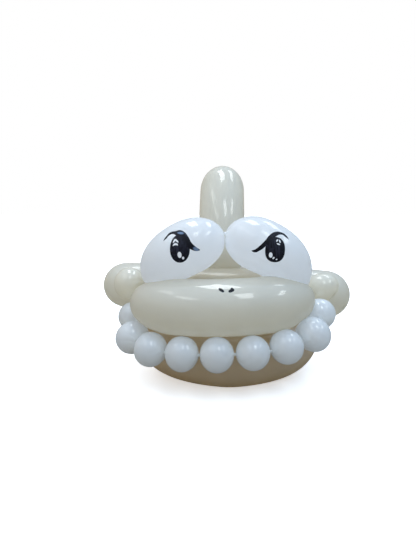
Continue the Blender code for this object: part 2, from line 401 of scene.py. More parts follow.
@dataclass
class Balloon:
    """One balloon, twisted into a row of bubbles, which stands for a node of the model.

    Args:
        node: The name of that node.
        bubbles: Its bubbles, from one end to the other.
        tips: How its two ends are closed.
        skin: How its latex is gathered.
        navels: The knots on it.
    """

    node: str
    bubbles: list[Bubble]
    tips: tuple[Tip, Tip] = (Tip.TWIST, Tip.TWIST)
    skin: Skin = field(default_factory=Skin)
    navels: tuple[Navel, ...] = ()

    def neck(self, before: Bubble, after: Bubble) -> np.ndarray:
        """Draws the thin neck from one bubble to the next."""
        start, end = before.line[-1], after.line[0]
        gap = float(np.linalg.norm(end - start))
        handle = self.skin.bend * min(gap, 2.0 * self.skin.stub)
        steps = max(self.skin.least_steps, round(NECK_CROWDING * gap / self.skin.neck_step))
        leaving, arriving = handle * before.heading(True), handle * after.heading(False)
        return hooked(start, leaving, end, arriving, steps)

    def blown(self, number: int) -> Rings:
        """Gives the rings of one bubble."""
        bubble = self.bubbles[number]
        distance, radii = bubble.profile(self.skin.step)
        spread = np.gradient(radii, distance)
        first, last = bubble.reach()
        anchors = bubble.at(np.clip(distance + radii * spread, first, last))
        from_start = distance.copy()
        from_end = distance - bubble.length
        nearer = np.where(from_start < -from_end, from_start, from_end)
        dome = np.zeros(len(distance), bool)
        if number == 0 and self.tips[0] is Tip.DOME:
            dome |= from_start < -from_end
        if number == len(self.bubbles) - 1 and self.tips[1] is Tip.DOME:
            dome |= from_start >= -from_end
        offsets = np.where(dome, 1.0, nearer)
        radii = np.where(dome, radii, np.hypot(radii, self.skin.neck_radius))
        return Rings(bubble.at(distance), radii, anchors, np.full(len(distance), number), offsets)

    def thin(self, path: np.ndarray, offsets: np.ndarray) -> Rings:
        """Gives the rings of a neck along a path."""
        count = len(path)
        return Rings(path, np.full(count, self.skin.neck_radius), path, np.full(count, -1), offsets)

    def stub(self, bubble: Bubble, at_end: bool) -> Rings:
        """Gives the short closed neck at a free end that is twisted shut."""
        outward = bubble.heading(at_end) * (1.0 if at_end else -1.0)
        root = bubble.line[-1 if at_end else 0]
        away = np.linspace(0.0, self.skin.stub, self.skin.stub_rings + 1)[1:]
        rings = self.thin(root + away[:, None] * outward, away if at_end else -away)
        rings.radii[-1] = 0.0
        rings.radii[-2] *= self.skin.stub_taper
        return rings if at_end else rings.reversed()

    def rings(self) -> Rings:
        """Gives every ring of the balloon, twists included."""
        parts = []
        if self.tips[0] is Tip.TWIST:
            parts.append(self.stub(self.bubbles[0], at_end=False))
        for number, bubble in enumerate(self.bubbles):
            if number:
                path = self.neck(self.bubbles[number - 1], bubble)
                run = distances(path)
                offsets = run - run[-1] / 2
                parts.append(self.thin(path[1:-1], offsets[1:-1]))
            parts.append(self.blown(number))
        if self.tips[1] is Tip.TWIST:
            parts.append(self.stub(self.bubbles[-1], at_end=True))
        return Rings.joined(parts)


def carried_frames(centres: np.ndarray) -> tuple[np.ndarray, np.ndarray]:
    """Carries a pair of cross directions along a path without turning them round it."""
    headings = np.gradient(centres, axis=0)
    headings /= np.maximum(np.linalg.norm(headings, axis=1)[:, None], 1e-12)
    side = np.cross(headings[0], (0.0, 0.0, 1.0))
    if np.linalg.norm(side) < 0.1:
        side = np.cross(headings[0], (0.0, 1.0, 0.0))
    sides = []
    for heading in headings:
        side = side - heading * side.dot(heading)
        side = side / np.linalg.norm(side)
        sides.append(side)
    first = np.array(sides)
    return first, np.cross(first, headings)


# ---------------------------------------------------------------------------
# Contacts
# ---------------------------------------------------------------------------


@dataclass(frozen=True)
class Pressing:
    """How skins give way where they touch.

    Args:
        gap: Air left between two skins.
        rounding: Width over which a skin turns away from the contact.
        halvings: Steps of the search for the surface between two bubbles.
    """

    gap: float = 0.0002
    rounding: float = 0.0014
    halvings: int = 14

    def dents(self, points: np.ndarray, anchors: np.ndarray, others: list[Bubble]) -> np.ndarray:
        """Works out how far each point of a skin is pushed in.

        Args:
            points: Points of the free skin.
            anchors: For each point, the inner sphere's centre that it is blown from.
            others: The bubbles that may press on it.

        Returns:
            The depth of the dent at each point.
        """
        reach = np.maximum(np.linalg.norm(points - anchors, axis=1), 1e-9)
        rays = (points - anchors) / reach[:, None]
        deepest = np.full(len(points), -self.rounding)
        falling = rays[:, 2] < -1e-6
        to_floor = np.where(falling, anchors[:, 2] / np.where(falling, -rays[:, 2], 1.0), np.inf)
        deepest = np.maximum(deepest, reach - to_floor)
        for other in others:
            low, high = other.box(2.5 * self.rounding)
            near = np.flatnonzero(np.all((points > low) & (points < high), axis=1))
            if near.size:
                found = self.meeting(anchors[near], rays[near], reach[near], other)
                deepest[near] = np.maximum(deepest[near], found)
        return self.eased(deepest)

    def meeting(
        self, anchors: np.ndarray, rays: np.ndarray, reach: np.ndarray, other: Bubble
    ) -> np.ndarray:
        """Finds the surface half way to another bubble along each ray.

        Args:
            anchors: Where the rays start.
            rays: Their directions.
            reach: How far along each ray the free skin is.
            other: The other bubble.

        Returns:
            How far inside the free skin that surface is, below zero where it is outside.
        """
        least = np.zeros(len(reach))
        most = reach + self.rounding
        free = other.outside(anchors + most[:, None] * rays) - self.rounding >= self.gap
        for _ in range(self.halvings):
            middle = (least + most) / 2
            fits = other.outside(anchors + middle[:, None] * rays) - (middle - reach) >= self.gap
            least = np.where(fits, middle, least)
            most = np.where(fits, most, middle)
        return np.where(free, -self.rounding, reach - least)

    def eased(self, depth: np.ndarray) -> np.ndarray:
        """Rounds the edge of each dent, so that no crease is sharp."""
        share = np.clip(depth + self.rounding, 0.0, None)
        return np.where(depth < self.rounding, share**2 / (4 * self.rounding), depth)


# ---------------------------------------------------------------------------
# Skins as meshes
# ---------------------------------------------------------------------------


@dataclass
class SkinMaker:
    """Turns balloons into meshes.

    Args:
        bubbles: Every bubble of the shark, each of which may press on the others.
        pressing: How skins give way where they touch.
    """

    bubbles: list[Bubble]
    pressing: Pressing = field(default_factory=Pressing)

    def gathered(self, balloon: Balloon, rings: Rings, angles: np.ndarray) -> np.ndarray:
        """Gives the radius of every ring all round, drawn into folds at the twists.

        Args:
            balloon: The balloon that the rings belong to.
            rings: Its rings.
            angles: The angle of each side of the skin.

        Returns:
            One row of radii for each ring.
        """
        skin = balloon.skin
        away = np.abs(rings.offsets)[:, None]
        lean = skin.swirl * np.sign(rings.offsets)[:, None] * np.exp(-away / skin.swirl_reach)
        wave = np.abs(np.cos(skin.folds * angles[None, :] / 2 + lean * math.pi))
        fade = np.exp(-((away / skin.fold_reach) ** skin.fold_fade))
        fold = skin.fold_depth * fade * (1.0 - wave) ** skin.fold_sharpness
        return rings.radii[:, None] * (1.0 - fold)

    def points(self, balloon: Balloon, rings: Rings) -> tuple[np.ndarray, np.ndarray]:
        """Places every point of a skin and presses it on its neighbours.

        Args:
            balloon: The balloon that the rings belong to.
            rings: Its rings.

        Returns:
            The points, as rings by sides by three, and how slack the latex is at each.
        """
        sides = balloon.skin.sides
        angles = 2 * math.pi * np.arange(sides) / sides
        first, second = carried_frames(rings.centres)
        cosines, sines = (turned(angles)[None, :, None] for turned in (np.cos, np.sin))
        around = first[:, None] * cosines + second[:, None] * sines
        placed = rings.centres[:, None] + self.gathered(balloon, rings, angles)[:, :, None] * around
        fading = np.exp(-np.abs(rings.offsets) / balloon.skin.slack_reach)
        slack = np.repeat(fading[:, None], sides, axis=1)
        for number, bubble in enumerate(balloon.bubbles):
            mine = np.flatnonzero(rings.owners == number)
            free = placed[mine].reshape(-1, 3)
            anchors = np.repeat(rings.anchors[mine], sides, axis=0)
            low, high = bubble.box(3 * self.pressing.rounding)
            others = [b for b in self.bubbles if b is not bubble and self.touching(b, low, high)]
            dents = self.pressing.dents(free, anchors, others)
            for navel in balloon.navels:
                hollow, loose = navel.dent(free)
                dents = dents + hollow
                slack[mine] = np.maximum(slack[mine], loose.reshape(len(mine), sides))
            inward = anchors - free
            inward /= np.maximum(np.linalg.norm(inward, axis=1)[:, None], 1e-9)
            placed[mine] = (free + dents[:, None] * inward).reshape(len(mine), sides, 3)
        return placed, slack

    def touching(self, other: Bubble, low: np.ndarray, high: np.ndarray) -> bool:
        """Tells whether another bubble reaches into the box from low to high."""
        other_low, other_high = other.box(0.0)
        return bool(np.all(other_high > low) and np.all(other_low < high))

    def mesh(self, balloon: Balloon) -> bpy.types.Mesh:
        """Makes the closed skin of a balloon.

        Args:
            balloon: The balloon to be made.

        Returns:
            Its mesh, with the slack of the latex at each point as an attribute.
        """
        rings = balloon.rings()
        placed, loose = self.points(balloon, rings)
        count, sides = placed.shape[:2]
        shape = bmesh.new()
        bmesh.ops.create_uvsphere(shape, u_segments=sides, v_segments=count + 1, radius=1.0)
        mesh = bpy.data.meshes.new(balloon.node + "_skin")
        shape.to_mesh(mesh)
        shape.free()
        ball = np.empty(len(mesh.vertices) * 3)
        mesh.vertices.foreach_get("co", ball)
        ball = ball.reshape(-1, 3)
        rise = np.arccos(np.clip(-ball[:, 2], -1, 1)) / math.pi
        turn = np.arctan2(ball[:, 1], ball[:, 0]) / (2 * math.pi)
        ring = np.rint(rise * (count + 1)).astype(int) - 1
        side = np.rint(turn * sides).astype(int) % sides
        inner = np.clip(ring, 0, count - 1)
        spots = placed[inner, side]
        poles = (ring < 0) | (ring >= count)
        spots[poles] = placed[inner[poles]].mean(axis=1)
        mesh.vertices.foreach_set("co", (spots - MIDDLE).ravel())
        slack = mesh.attributes.new("slack", "FLOAT", "POINT")
        slack.data.foreach_set("value", loose[inner, side].astype(np.float32))
        self.face_outwards(mesh)
        mesh.shade_smooth()
        return mesh

    def face_outwards(self, mesh: bpy.types.Mesh) -> None:
        """Turns every face of a closed mesh to the outside."""
        shape = bmesh.new()
        shape.from_mesh(mesh)
        bmesh.ops.recalc_face_normals(shape, faces=shape.faces)
        if shape.calc_volume(signed=True) < 0.0:
            bmesh.ops.reverse_faces(shape, faces=shape.faces)
        shape.to_mesh(mesh)
        shape.free()


# ---------------------------------------------------------------------------
# Materials
# ---------------------------------------------------------------------------


class Wire:
    """A shader value that takes part in Python expressions."""

    def __init__(self, nodes: Nodes, socket: Any) -> None:
        """Holds a socket or a plain number, and the tree that it is part of."""
        self.nodes = nodes
        self.socket = socket.socket if isinstance(socket, Wire) else socket

    def math(self, operation: str, *values: Any) -> Wire:
        """Adds a Math node with this value first, and gives its result."""
        sockets = dict(enumerate((self, *values)))
        return self.nodes.node("ShaderNodeMath", {"operation": operation}, sockets)

    def __add__(self, other: Any) -> Wire:
        """Adds two values."""
        return self.math("ADD", other)

    def __sub__(self, other: Any) -> Wire:
        """Takes the other value from this one."""
        return self.math("SUBTRACT", other)

    def __mul__(self, other: Any) -> Wire:
        """Multiplies two values."""
        return self.math("MULTIPLY", other)

    def __truediv__(self, other: Any) -> Wire:
        """Divides this value by the other."""
        return self.math("DIVIDE", other)

    def __pow__(self, other: Any) -> Wire:
        """Raises this value to a power."""
        return self.math("POWER", other)

    def __radd__(self, other: float) -> Wire:
        """Adds this value to a number."""
        return Wire(self.nodes, other).math("ADD", self)

    def __rsub__(self, other: float) -> Wire:
        """Takes this value from a number."""
        return Wire(self.nodes, other).math("SUBTRACT", self)

    def __rmul__(self, other: float) -> Wire:
        """Multiplies a number by this value."""
        return Wire(self.nodes, other).math("MULTIPLY", self)

    def __rtruediv__(self, other: float) -> Wire:
        """Divides a number by this value."""
        return Wire(self.nodes, other).math("DIVIDE", self)

    def ramp(self, low: float, high: float, start: float = 0.0, end: float = 1.0) -> Wire:
        """Turns the span from low to high smoothly into the span from start to end."""
        settings = {"interpolation_type": "SMOOTHSTEP"}
        values = {0: self, 1: low, 2: high, 3: start, 4: end}
        return self.nodes.node("ShaderNodeMapRange", settings, values)


class Nodes:
    """A tree of shader nodes that is written as expressions."""

    def __init__(self, tree: bpy.types.NodeTree) -> None:
        """Holds the tree."""
        self.tree = tree

    def node(
        self, kind: str, settings: dict[str, Any], values: dict[Any, Any], output: Any = 0
    ) -> Wire:
        """Adds one node.

        Args:
            kind: The node's type.
            settings: Its properties, which are set first: "stops" are those of a ramp,
                and "curve" the points of a curve.
            values: What goes into its sockets: numbers, or other values.
            output: The socket that is read.

        Returns:
            The value of that socket.
        """
        made = self.tree.nodes.new(kind)
        for name, value in settings.items():
            if name == "stops":
                self.place_stops(made.color_ramp.elements, value)
            elif name == "curve":
                self.bend(made.mapping, value)
            else:
                setattr(made, name, value)
        for name, value in values.items():
            self.feed(made.inputs[name], value)
        return Wire(self, made.outputs[output])

    @staticmethod
    def place_stops(elements: Any, stops: Sequence[tuple[float, Colour]]) -> None:
        """Sets the stops of a colour ramp, of which the first and the last are at its ends."""
        for element, (share, colour) in zip((elements[0], elements[-1]), (stops[0], stops[-1])):
            element.position, element.color = share, colour
        for share, colour in stops[1:-1]:
            elements.new(share).color = colour

    @staticmethod
    def bend(mapping: Any, points: Sequence[tuple[float, float]]) -> None:
        """Sets the points of a curve, of which the first and the last are at its ends."""
        curve = mapping.curves[0]
        curve.points[0].location, curve.points[-1].location = points[0], points[-1]
        for point in points[1:-1]:
            curve.points.new(*point)
        mapping.update()

    def feed(self, socket: Any, value: Any) -> None:
        """Links a value to a socket, or sets the socket to a number."""
        inner = value.socket if isinstance(value, Wire) else value
        if isinstance(inner, bpy.types.NodeSocket):
            self.tree.links.new(inner, socket)
        else:
            socket.default_value = inner

    def scale(self, value: Any, factors: Any) -> Wire:
        """Multiplies two colours or two places, channel by channel."""
        return self.node("ShaderNodeVectorMath", {"operation": "MULTIPLY"}, {0: value, 1: factors})

    def blend(self, share: Any, first: Any, second: Any) -> Wire:
        """Mixes two colours; share 0 is the first."""
        return self.node("ShaderNodeMix", {"data_type": "RGBA"}, {0: share, 6: first, 7: second}, 2)


class Paint(Nodes):
    """A node material."""

    def __init__(self, name: str) -> None:
        """Starts an empty material with a Principled shader."""
        self.material = bpy.data.materials.new(name)
        self.material.use_nodes = True
        super().__init__(self.material.node_tree)
        self.shader = self.tree.nodes["Principled BSDF"]

    def set(self, **values: Any) -> None:
        """Feeds the Principled shader, whose socket names are given with underscores."""
        for name, value in values.items():
            self.feed(self.shader.inputs[name.replace("_", " ")], value)

    def glow(self, colour: Colour, share: Any) -> None:
        """Lets a share of the light come through the skin, tinted by a colour."""
        surface = Wire(self, self.shader.outputs[0])
        through = self.node("ShaderNodeBsdfTranslucent", {}, {"Color": colour})
        mixed = self.node("ShaderNodeMixShader", {}, {0: share, 1: surface, 2: through})
        output = next(node for node in self.tree.nodes if node.type == "OUTPUT_MATERIAL")
        self.feed(output.inputs["Surface"], mixed)

    def place(self) -> Wire:
        """Gives the place on the object, in metres."""
        return self.node("ShaderNodeTexCoord", {}, {}, "Object")

    def axes(self) -> tuple[Wire, Wire, Wire]:
        """Gives X, Y and Z of the place on the object, in millimetres."""
        split = self.node("ShaderNodeSeparateXYZ", {}, {0: self.place()})
        outputs = split.socket.node.outputs
        return tuple(Wire(self, outputs[name]) * 1000.0 for name in "XYZ")

    def noise(
        self,
        scale: float,
        detail: float = 2.0,
        roughness: float = 0.5,
        distortion: float = 0.0,
        place: Wire | None = None,
    ) -> Wire:
        """Gives a soft random pattern.

        Args:
            scale: How many of its waves go to a metre.
            detail: How many finer patterns are laid over the first.
            roughness: How strong the finer patterns are.
            distortion: How much it is stirred.
            place: Where it is read, if that isn't the place on the object.

        Returns:
            The pattern, from 0 to 1.
        """
        values = {"Vector": place or self.place(), "Scale": scale, "Detail": detail}
        values |= {"Roughness": roughness, "Distortion": distortion}
        return self.node("ShaderNodeTexNoise", {}, values, "Fac")

    def relief(self, height: Any, strength: float, distance: float) -> Wire:
        """Turns a height into a Normal."""
        values = {"Height": height, "Strength": strength, "Distance": distance}
        return self.node("ShaderNodeBump", {}, values, "Normal")


@dataclass(frozen=True)
class Latex:
    """Blown latex: thin and pale where it is full, deep in colour where it is slack.

    Args:
        name: The name of the material.
        blown: Colour of the stretched skin.
        slack: Colour of the unstretched latex at the twists.
        inside: Colour of the light that comes through the skin.
        slack_span: Between what slackness the skin goes from thin to thick.
        thickening: How far the colour turns to that of slack latex at a twist.
        blocking: Share of the light that slack latex keeps from coming through.
        dulling: How much slackness blurs the sheen.
        cloud: How strongly the thickness of the skin wanders.
        cloud_grain: How many of its clouds go to a metre.
        cloud_span: The part of their pattern that shows.
        cloud_shade: What the colour is multiplied by where the skin is thickest.
        through: Share of the light that comes through the skin.
        roughness: How blurred the broad sheen is.
        haze: How much a fine dust blurs and weakens the gloss.
        haze_grain: How many specks of the dust go to a metre.
        haze_span: The part of their pattern that shows.
        coat: Strength of the sharp gloss over it.
        coat_roughness: How blurred the sharp gloss is.
        coat_ior: How strongly the sharp gloss mirrors.
        ior: How strongly the broad sheen mirrors.
        ripple: Strength of the faint ripple of the skin.
        ripple_grain: How many of its waves go to a metre.
        ripple_height: Height of those waves.
    """

    name: str
    blown: Colour
    slack: Colour
    inside: Colour
    slack_span: tuple[float, float] = (0.12, 0.95)
    thickening: float = 0.75
    blocking: float = 0.6
    dulling: float = 0.12
    cloud: float = 0.40
    cloud_grain: float = 38.0
    cloud_span: tuple[float, float] = (0.35, 0.70)
    cloud_shade: float = 0.86
    through: float = 0.60
    roughness: float = 0.40
    haze: float = 0.10
    haze_grain: float = 260.0
    haze_span: tuple[float, float] = (0.3, 0.8)
    coat: float = 1.0
    coat_roughness: float = 0.05
    coat_ior: float = 2.0
    ior: float = 1.25
    ripple: float = 0.10
    ripple_grain: float = 90.0
    ripple_height: float = 0.0006

    def paint(self, name: str) -> tuple[Paint, Wire, Wire]:
        """Mixes the latex without any ink on it.

        Args:
            name: The name of the material.

        Returns:
            The material, the colour of its surface, and the share of light that comes through.
        """
        paint = Paint(name)
        near_twist = paint.node("ShaderNodeAttribute", {"attribute_name": "slack"}, {}, "Fac")
        thick = near_twist.ramp(*self.slack_span) * self.thickening
        body = paint.blend(thick, self.blown, self.slack)
        clouds = paint.noise(self.cloud_grain, detail=3.0, roughness=0.55, distortion=0.4)
        deeper = tuple(channel * self.cloud_shade for channel in self.blown[:3]) + (1.0,)
        colour = paint.blend(clouds.ramp(*self.cloud_span) * self.cloud, body, deeper)
        dust = paint.noise(self.haze_grain, roughness=0.6).ramp(*self.haze_span) * self.haze
        paint.set(
            Roughness=self.roughness + dust + near_twist * self.dulling,
            Coat_Weight=self.coat - dust,
            Coat_Roughness=self.coat_roughness,
            Coat_IOR=self.coat_ior,
            IOR=self.ior,
            Normal=paint.relief(paint.noise(self.ripple_grain), self.ripple, self.ripple_height),
        )
        return paint, colour, self.through * (1.0 - thick * self.blocking)

    def finish(self) -> bpy.types.Material:
        """Makes the plain finish, without any ink on it."""
        paint, colour, share = self.paint(self.name)
        paint.set(Base_Color=colour)
        paint.glow(self.inside, share)
        return paint.material


IVORY = Latex(
    "ivory_latex",
    blown=(0.875, 0.885, 0.830, 1.0),
    slack=(0.64, 0.57, 0.40, 1.0),
    inside=(0.890, 0.840, 0.725, 1.0),
)
# Painted shade: a darker, warmer copy of the same ivory, which dims the fins, the body and the tail
# as if they got less light.
SHADED_BODY_IVORY = replace(
    IVORY,
    name="shaded_body_latex",
    blown=(0.850, 0.850, 0.785, 1.0),
    inside=(0.835, 0.790, 0.685, 1.0),
)
# Painted shade: a darker, warmer copy of the same ivory for the bridge, which lies in the shadow of
# the eyes above it; its gloss is weakened as well.
SHADED_BRIDGE_IVORY = replace(
    IVORY,
    name="shaded_bridge_latex",
    blown=(0.860, 0.830, 0.730, 1.0),
    inside=(0.87, 0.80, 0.64, 1.0),
    coat=0.5,
)
# Painted shade: a darker, browner copy of the same ivory for the lower jaw, which lies in the shade
# of the head above it.
SHADED_JAW_IVORY = replace(
    IVORY,
    name="shaded_jaw_latex",
    blown=(0.850, 0.775, 0.640, 1.0),
    slack=(0.58, 0.51, 0.35, 1.0),
    inside=(0.870, 0.730, 0.515, 1.0),
)
WHITE = Latex(
    "white_latex",
    blown=(0.90, 0.94, 0.97, 1.0),
    slack=(0.78, 0.80, 0.78, 1.0),
    inside=(0.97, 0.97, 0.98, 1.0),
    through=0.64,
)
TOOTH_WHITE = Latex(
    "tooth_latex",
    blown=(0.91, 0.96, 0.99, 1.0),
    slack=(0.82, 0.84, 0.82, 1.0),
    inside=(0.95, 0.96, 0.98, 1.0),
    through=0.58,
)


@dataclass(frozen=True)
class Blot:
    """A rounded spot of ink, seen from the front.

    Args:
        middle: X and Z of its middle, in millimetres.
        half_length: Half of its length, in millimetres.
        half_width: Half of its width, in millimetres.
        turn: How far its length is turned up from X, in degrees.
        fullness: 2 for an ellipse, more for a squarer spot.
        edge: Width of its soft edge, in millimetres.
    """

    middle: tuple[float, float]
    half_length: float
    half_width: float
    turn: float = 0.0
    fullness: float = 2.0
    edge: float = 0.35

    def mask(self, x: Wire, z: Wire) -> Wire:
        """Gives 1 inside the spot and 0 outside it; x and z are in millimetres."""
        cosine, sine = math.cos(math.radians(self.turn)), math.sin(math.radians(self.turn))
        right, up = x - self.middle[0], z - self.middle[1]
        along = (right * cosine + up * sine).math("ABSOLUTE") / self.half_length
        across = (up * cosine - right * sine).math("ABSOLUTE") / self.half_width
        spread = (along**self.fullness + across**self.fullness) ** (1.0 / self.fullness)
        soft = self.edge / min(self.half_length, self.half_width) / 2
        return 1.0 - spread.ramp(1.0 - soft, 1.0 + soft)


@dataclass(frozen=True)
class Stroke:
    """A brush stroke that fills the room between two edges, seen from the front.

    Args:
        upper: X and Z of points of the upper edge from left to right, in millimetres.
        lower: The same of the lower edge.
        edge: Width of the soft edge, in millimetres.
    """

    upper: Outline
    lower: Outline
    edge: float = 0.35

    @staticmethod
    def line(x: Wire, points: Outline) -> Wire:
        """Gives the height of an edge at x."""
        left, right = points[0][0], points[-1][0]
        heights = [height for _, height in points]
        low, high = min(heights) - 1.0, max(heights) + 1.0
        width, rise = right - left, high - low
        shares = [((across - left) / width, (height - low) / rise) for across, height in points]
        value = {"Value": (x - left) / width}
        return x.nodes.node("ShaderNodeFloatCurve", {"curve": shares}, value) * rise + low

    def mask(self, x: Wire, z: Wire) -> Wire:
        """Gives 1 inside the stroke and 0 outside it; x and z are in millimetres."""
        half = self.edge / 2
        left, right = self.upper[0][0], self.upper[-1][0]
        under = (self.line(x, self.upper) - z).ramp(-half, half)
        over = (z - self.line(x, self.lower)).ramp(-half, half)
        return under * over * (x - left).ramp(-half, half) * (right - x).ramp(-half, half)


@dataclass(frozen=True)
class InkedEye:
    """One eye as it is drawn: a pupil, a lid over it, and spots that are left bare.

    Args:
        pupil: The dark oval.
        lid: The long stroke of the lid.
        bare: Spots inside the ink where the latex shows.
        pale: Pale bluish spots on the ink: painted reflections of the light on the ink, and thin
            ink at the end of a stroke.
    """

    pupil: Blot
    lid: Stroke
    bare: tuple[Blot | Stroke, ...]
    pale: tuple[Blot, ...] = ()


LEFT_INK = InkedEye(
    pupil=Blot((-52.0, 154.9), 14.0, 10.0, 90.0, 2.1),
    lid=Stroke(
        (
            (-69.0, 162.5), (-66.5, 166.5), (-61.5, 171.0), (-57.0, 172.0), (-52.0, 173.0),
            (-48.0, 171.5), (-43.5, 166.5), (-40.0, 160.5), (-32.0, 154.0),
        ),
        (
            (-69.0, 162.0), (-66.0, 164.5), (-62.5, 168.0), (-59.5, 169.0), (-56.5, 168.0),
            (-45.0, 157.0), (-39.5, 153.5), (-36.0, 152.5), (-32.0, 153.0),
        ),
    ),
    bare=(
        Stroke(
            ((-59.0, 161.5), (-58.0, 163.5), (-56.5, 164.5), (-55.0, 163.5), (-53.5, 162.0)),
            ((-59.0, 160.5), (-58.0, 161.0), (-56.5, 162.5), (-55.0, 161.5), (-53.5, 161.0)),
        ),
        Stroke(
            ((-59.0, 158.5), (-56.5, 160.5), (-54.0, 159.5)),
            ((-59.0, 157.5), (-56.5, 158.5), (-54.0, 158.0)),
        ),
        Blot((-52.3, 148.9), 3.0, 2.0, 97.0),
        Blot((-48.8, 145.7), 1.4, 1.1, 90.0),
    ),
    # Painted reflection: the first pale spot is the light gleaming along the top of the lid; the
    # second is thin ink at the end of the lid.
    pale=(
        Blot((-51.4, 170.2), 3.2, 1.1, -4.0, 2.0, 0.8),
        Blot((-35.8, 154.6), 3.0, 1.8, -22.0, 2.0, 1.4),
    ),
)

RIGHT_INK = InkedEye(
    pupil=Blot((43.2, 153.9), 12.6, 10.0, 86.0, 2.3),
    lid=Stroke(
        (
            (20.0, 153.0), (23.0, 154.0), (28.0, 158.0), (34.0, 164.0), (38.0, 168.5),
            (45.0, 171.5), (51.0, 170.5), (55.5, 167.5), (57.5, 164.5),
        ),
        (
            (20.0, 152.5), (23.0, 151.0), (28.0, 153.0), (36.0, 159.5), (43.0, 166.0),
            (50.0, 168.5), (54.5, 166.0), (57.5, 163.5),
        ),
    ),
    bare=(
        Blot((45.3, 163.0), 1.4, 0.7, 50.0),
        Blot((48.0, 162.2), 1.6, 0.7, 113.0),
        Blot((46.5, 159.5), 1.7, 0.7, -21.0),
        Blot((38.8, 148.7), 2.7, 1.8, 93.0),
        Blot((41.7, 145.7), 1.2, 0.8, 45.0),
        Blot((44.8, 144.3), 0.8, 0.6, 21.0),
    ),
)


def overlaid(masks: list[Wire]) -> Wire:
    """Gives 1 wherever one of the masks does."""
    return reduce(lambda first, second: first.math("MAXIMUM", second), masks)


@dataclass(frozen=True)
class Ink:
    """Marker ink on the latex: nearly black, with paler streaks of the brush, and pale bluish spots
    that are partly painted reflections of the light.

    Args:
        dark: Colour of full ink.
        thin: Colour of ink that is spread thin.
        pale: Colour of the pale spots, which paint reflections of the light on the ink as well as
            thin ends of strokes.
        roughness: How blurred its sheen is.
    """

    dark: Colour = (0.004, 0.004, 0.008, 1.0)
    thin: Colour = (0.028, 0.030, 0.050, 1.0)
    pale: Colour = (0.20, 0.29, 0.44, 1.0)
    roughness: float = 0.42

    def dress(self, latex: Latex, name: str, draw: Drawing) -> bpy.types.Material:
        """Lays the ink over the latex.

        Args:
            latex: The finish of the latex.
            name: The name of the material.
            draw: Gives where the ink is, where it is spread thin, and where it is palest.

        Returns:
            The material.
        """
        paint, colour, share = latex.paint(name)
        mask, thinness, paleness = draw(paint)
        # The pale colour lays painted reflections of the light over the ink.
        ink = paint.blend(paleness, paint.blend(thinness, self.dark, self.thin), self.pale)
        paint.set(
            Base_Color=paint.blend(mask, colour, ink),
            Roughness=latex.roughness + mask * (self.roughness - latex.roughness),
            Coat_Weight=latex.coat * (1.0 - mask),
        )
        paint.glow(latex.inside, share * (1.0 - mask))
        return paint.material


INK = Ink()


@dataclass(frozen=True)
class EyeInk:
    """Both eyes as they are drawn. Lengths are in millimetres.

    Args:
        eyes: The two eyes.
        front: Y where the ink is full, and Y where it has faded out behind.
        core: Half the length, half the width and the soft edge of the middle of a pupil,
            where the brush left streaks.
        streaks: How many streaks go to a metre.
        streak_draw: What each axis is multiplied by, to draw the streaks out upwards.
        streak_span: The part of their pattern that shows.
        wear: How many worn places of the ink go to a metre.
        wear_span: The part of their pattern that shows.
        wear_depth: How thin the ink is in them.
        paleness: How strongly the pale spots show, the painted reflection on the lid among them.
    """

    eyes: tuple[InkedEye, ...] = (LEFT_INK, RIGHT_INK)
    front: tuple[float, float] = (-150.0, -146.0)
    core: Triple = (10.0, 7.0, 4.0)
    streaks: float = 620.0
    streak_draw: Triple = (1.0, 0.0, 0.09)
    streak_span: tuple[float, float] = (0.40, 0.72)
    wear: float = 240.0
    wear_span: tuple[float, float] = (0.48, 0.66)
    wear_depth: float = 0.55
    paleness: float = 0.75

    def draw(self, paint: Paint) -> tuple[Wire, Wire, Wire]:
        """Draws both eyes.

        Args:
            paint: The material.

        Returns:
            Where the ink is, where it is spread thin, and where it is palest.
        """
        x, y, z = paint.axes()
        length, width, edge = self.core
        shape = {"half_length": length, "half_width": width, "fullness": 2.0, "edge": edge}
        drawn, bare, pale, inner = (
            overlaid([spot.mask(x, z) for spot in spots])
            for spots in (
                [spot for eye in self.eyes for spot in (eye.pupil, eye.lid)],
                [spot for eye in self.eyes for spot in eye.bare],
                [spot for eye in self.eyes for spot in eye.pale],
                [replace(eye.pupil, **shape) for eye in self.eyes],
            )
        )
        brushed = paint.scale(paint.place(), self.streak_draw)
        streaks = paint.noise(self.streaks, detail=3.0, roughness=0.6, place=brushed)
        worn = paint.noise(self.wear).ramp(*self.wear_span) * self.wear_depth
        thin = (streaks.ramp(*self.streak_span) * inner).math("MAXIMUM", worn)
        return drawn * (1.0 - bare) * (1.0 - y.ramp(*self.front)), thin, pale * self.paleness


@dataclass(frozen=True)
class NostrilInk:
    """Both nostrils as they are drawn. Lengths are in millimetres.

    Args:
        spots: The spots that they are made of.
        front: Y where the ink is full, and Y where it has faded out behind.
    """

    spots: tuple[Blot, ...] = (
        Blot((-11.0, 116.8), 3.0, 1.25, -25.0, 2.4),
        Blot((-1.3, 116.5), 3.1, 1.35, 17.0, 2.4),
        Blot((-0.9, 117.7), 1.4, 1.1, 40.0),
    )
    front: tuple[float, float] = (-165.0, -160.0)

    def draw(self, paint: Paint) -> tuple[Wire, float, float]:
        """Draws both nostrils.

        Args:
            paint: The material.

        Returns:
            Where the ink is; it is nowhere thin or pale.
        """
        x, y, z = paint.axes()
        shown = 1.0 - y.ramp(*self.front)
        return overlaid([spot.mask(x, z) for spot in self.spots]) * shown, 0.0, 0.0


# ---------------------------------------------------------------------------
# Parts of the shark
# ---------------------------------------------------------------------------


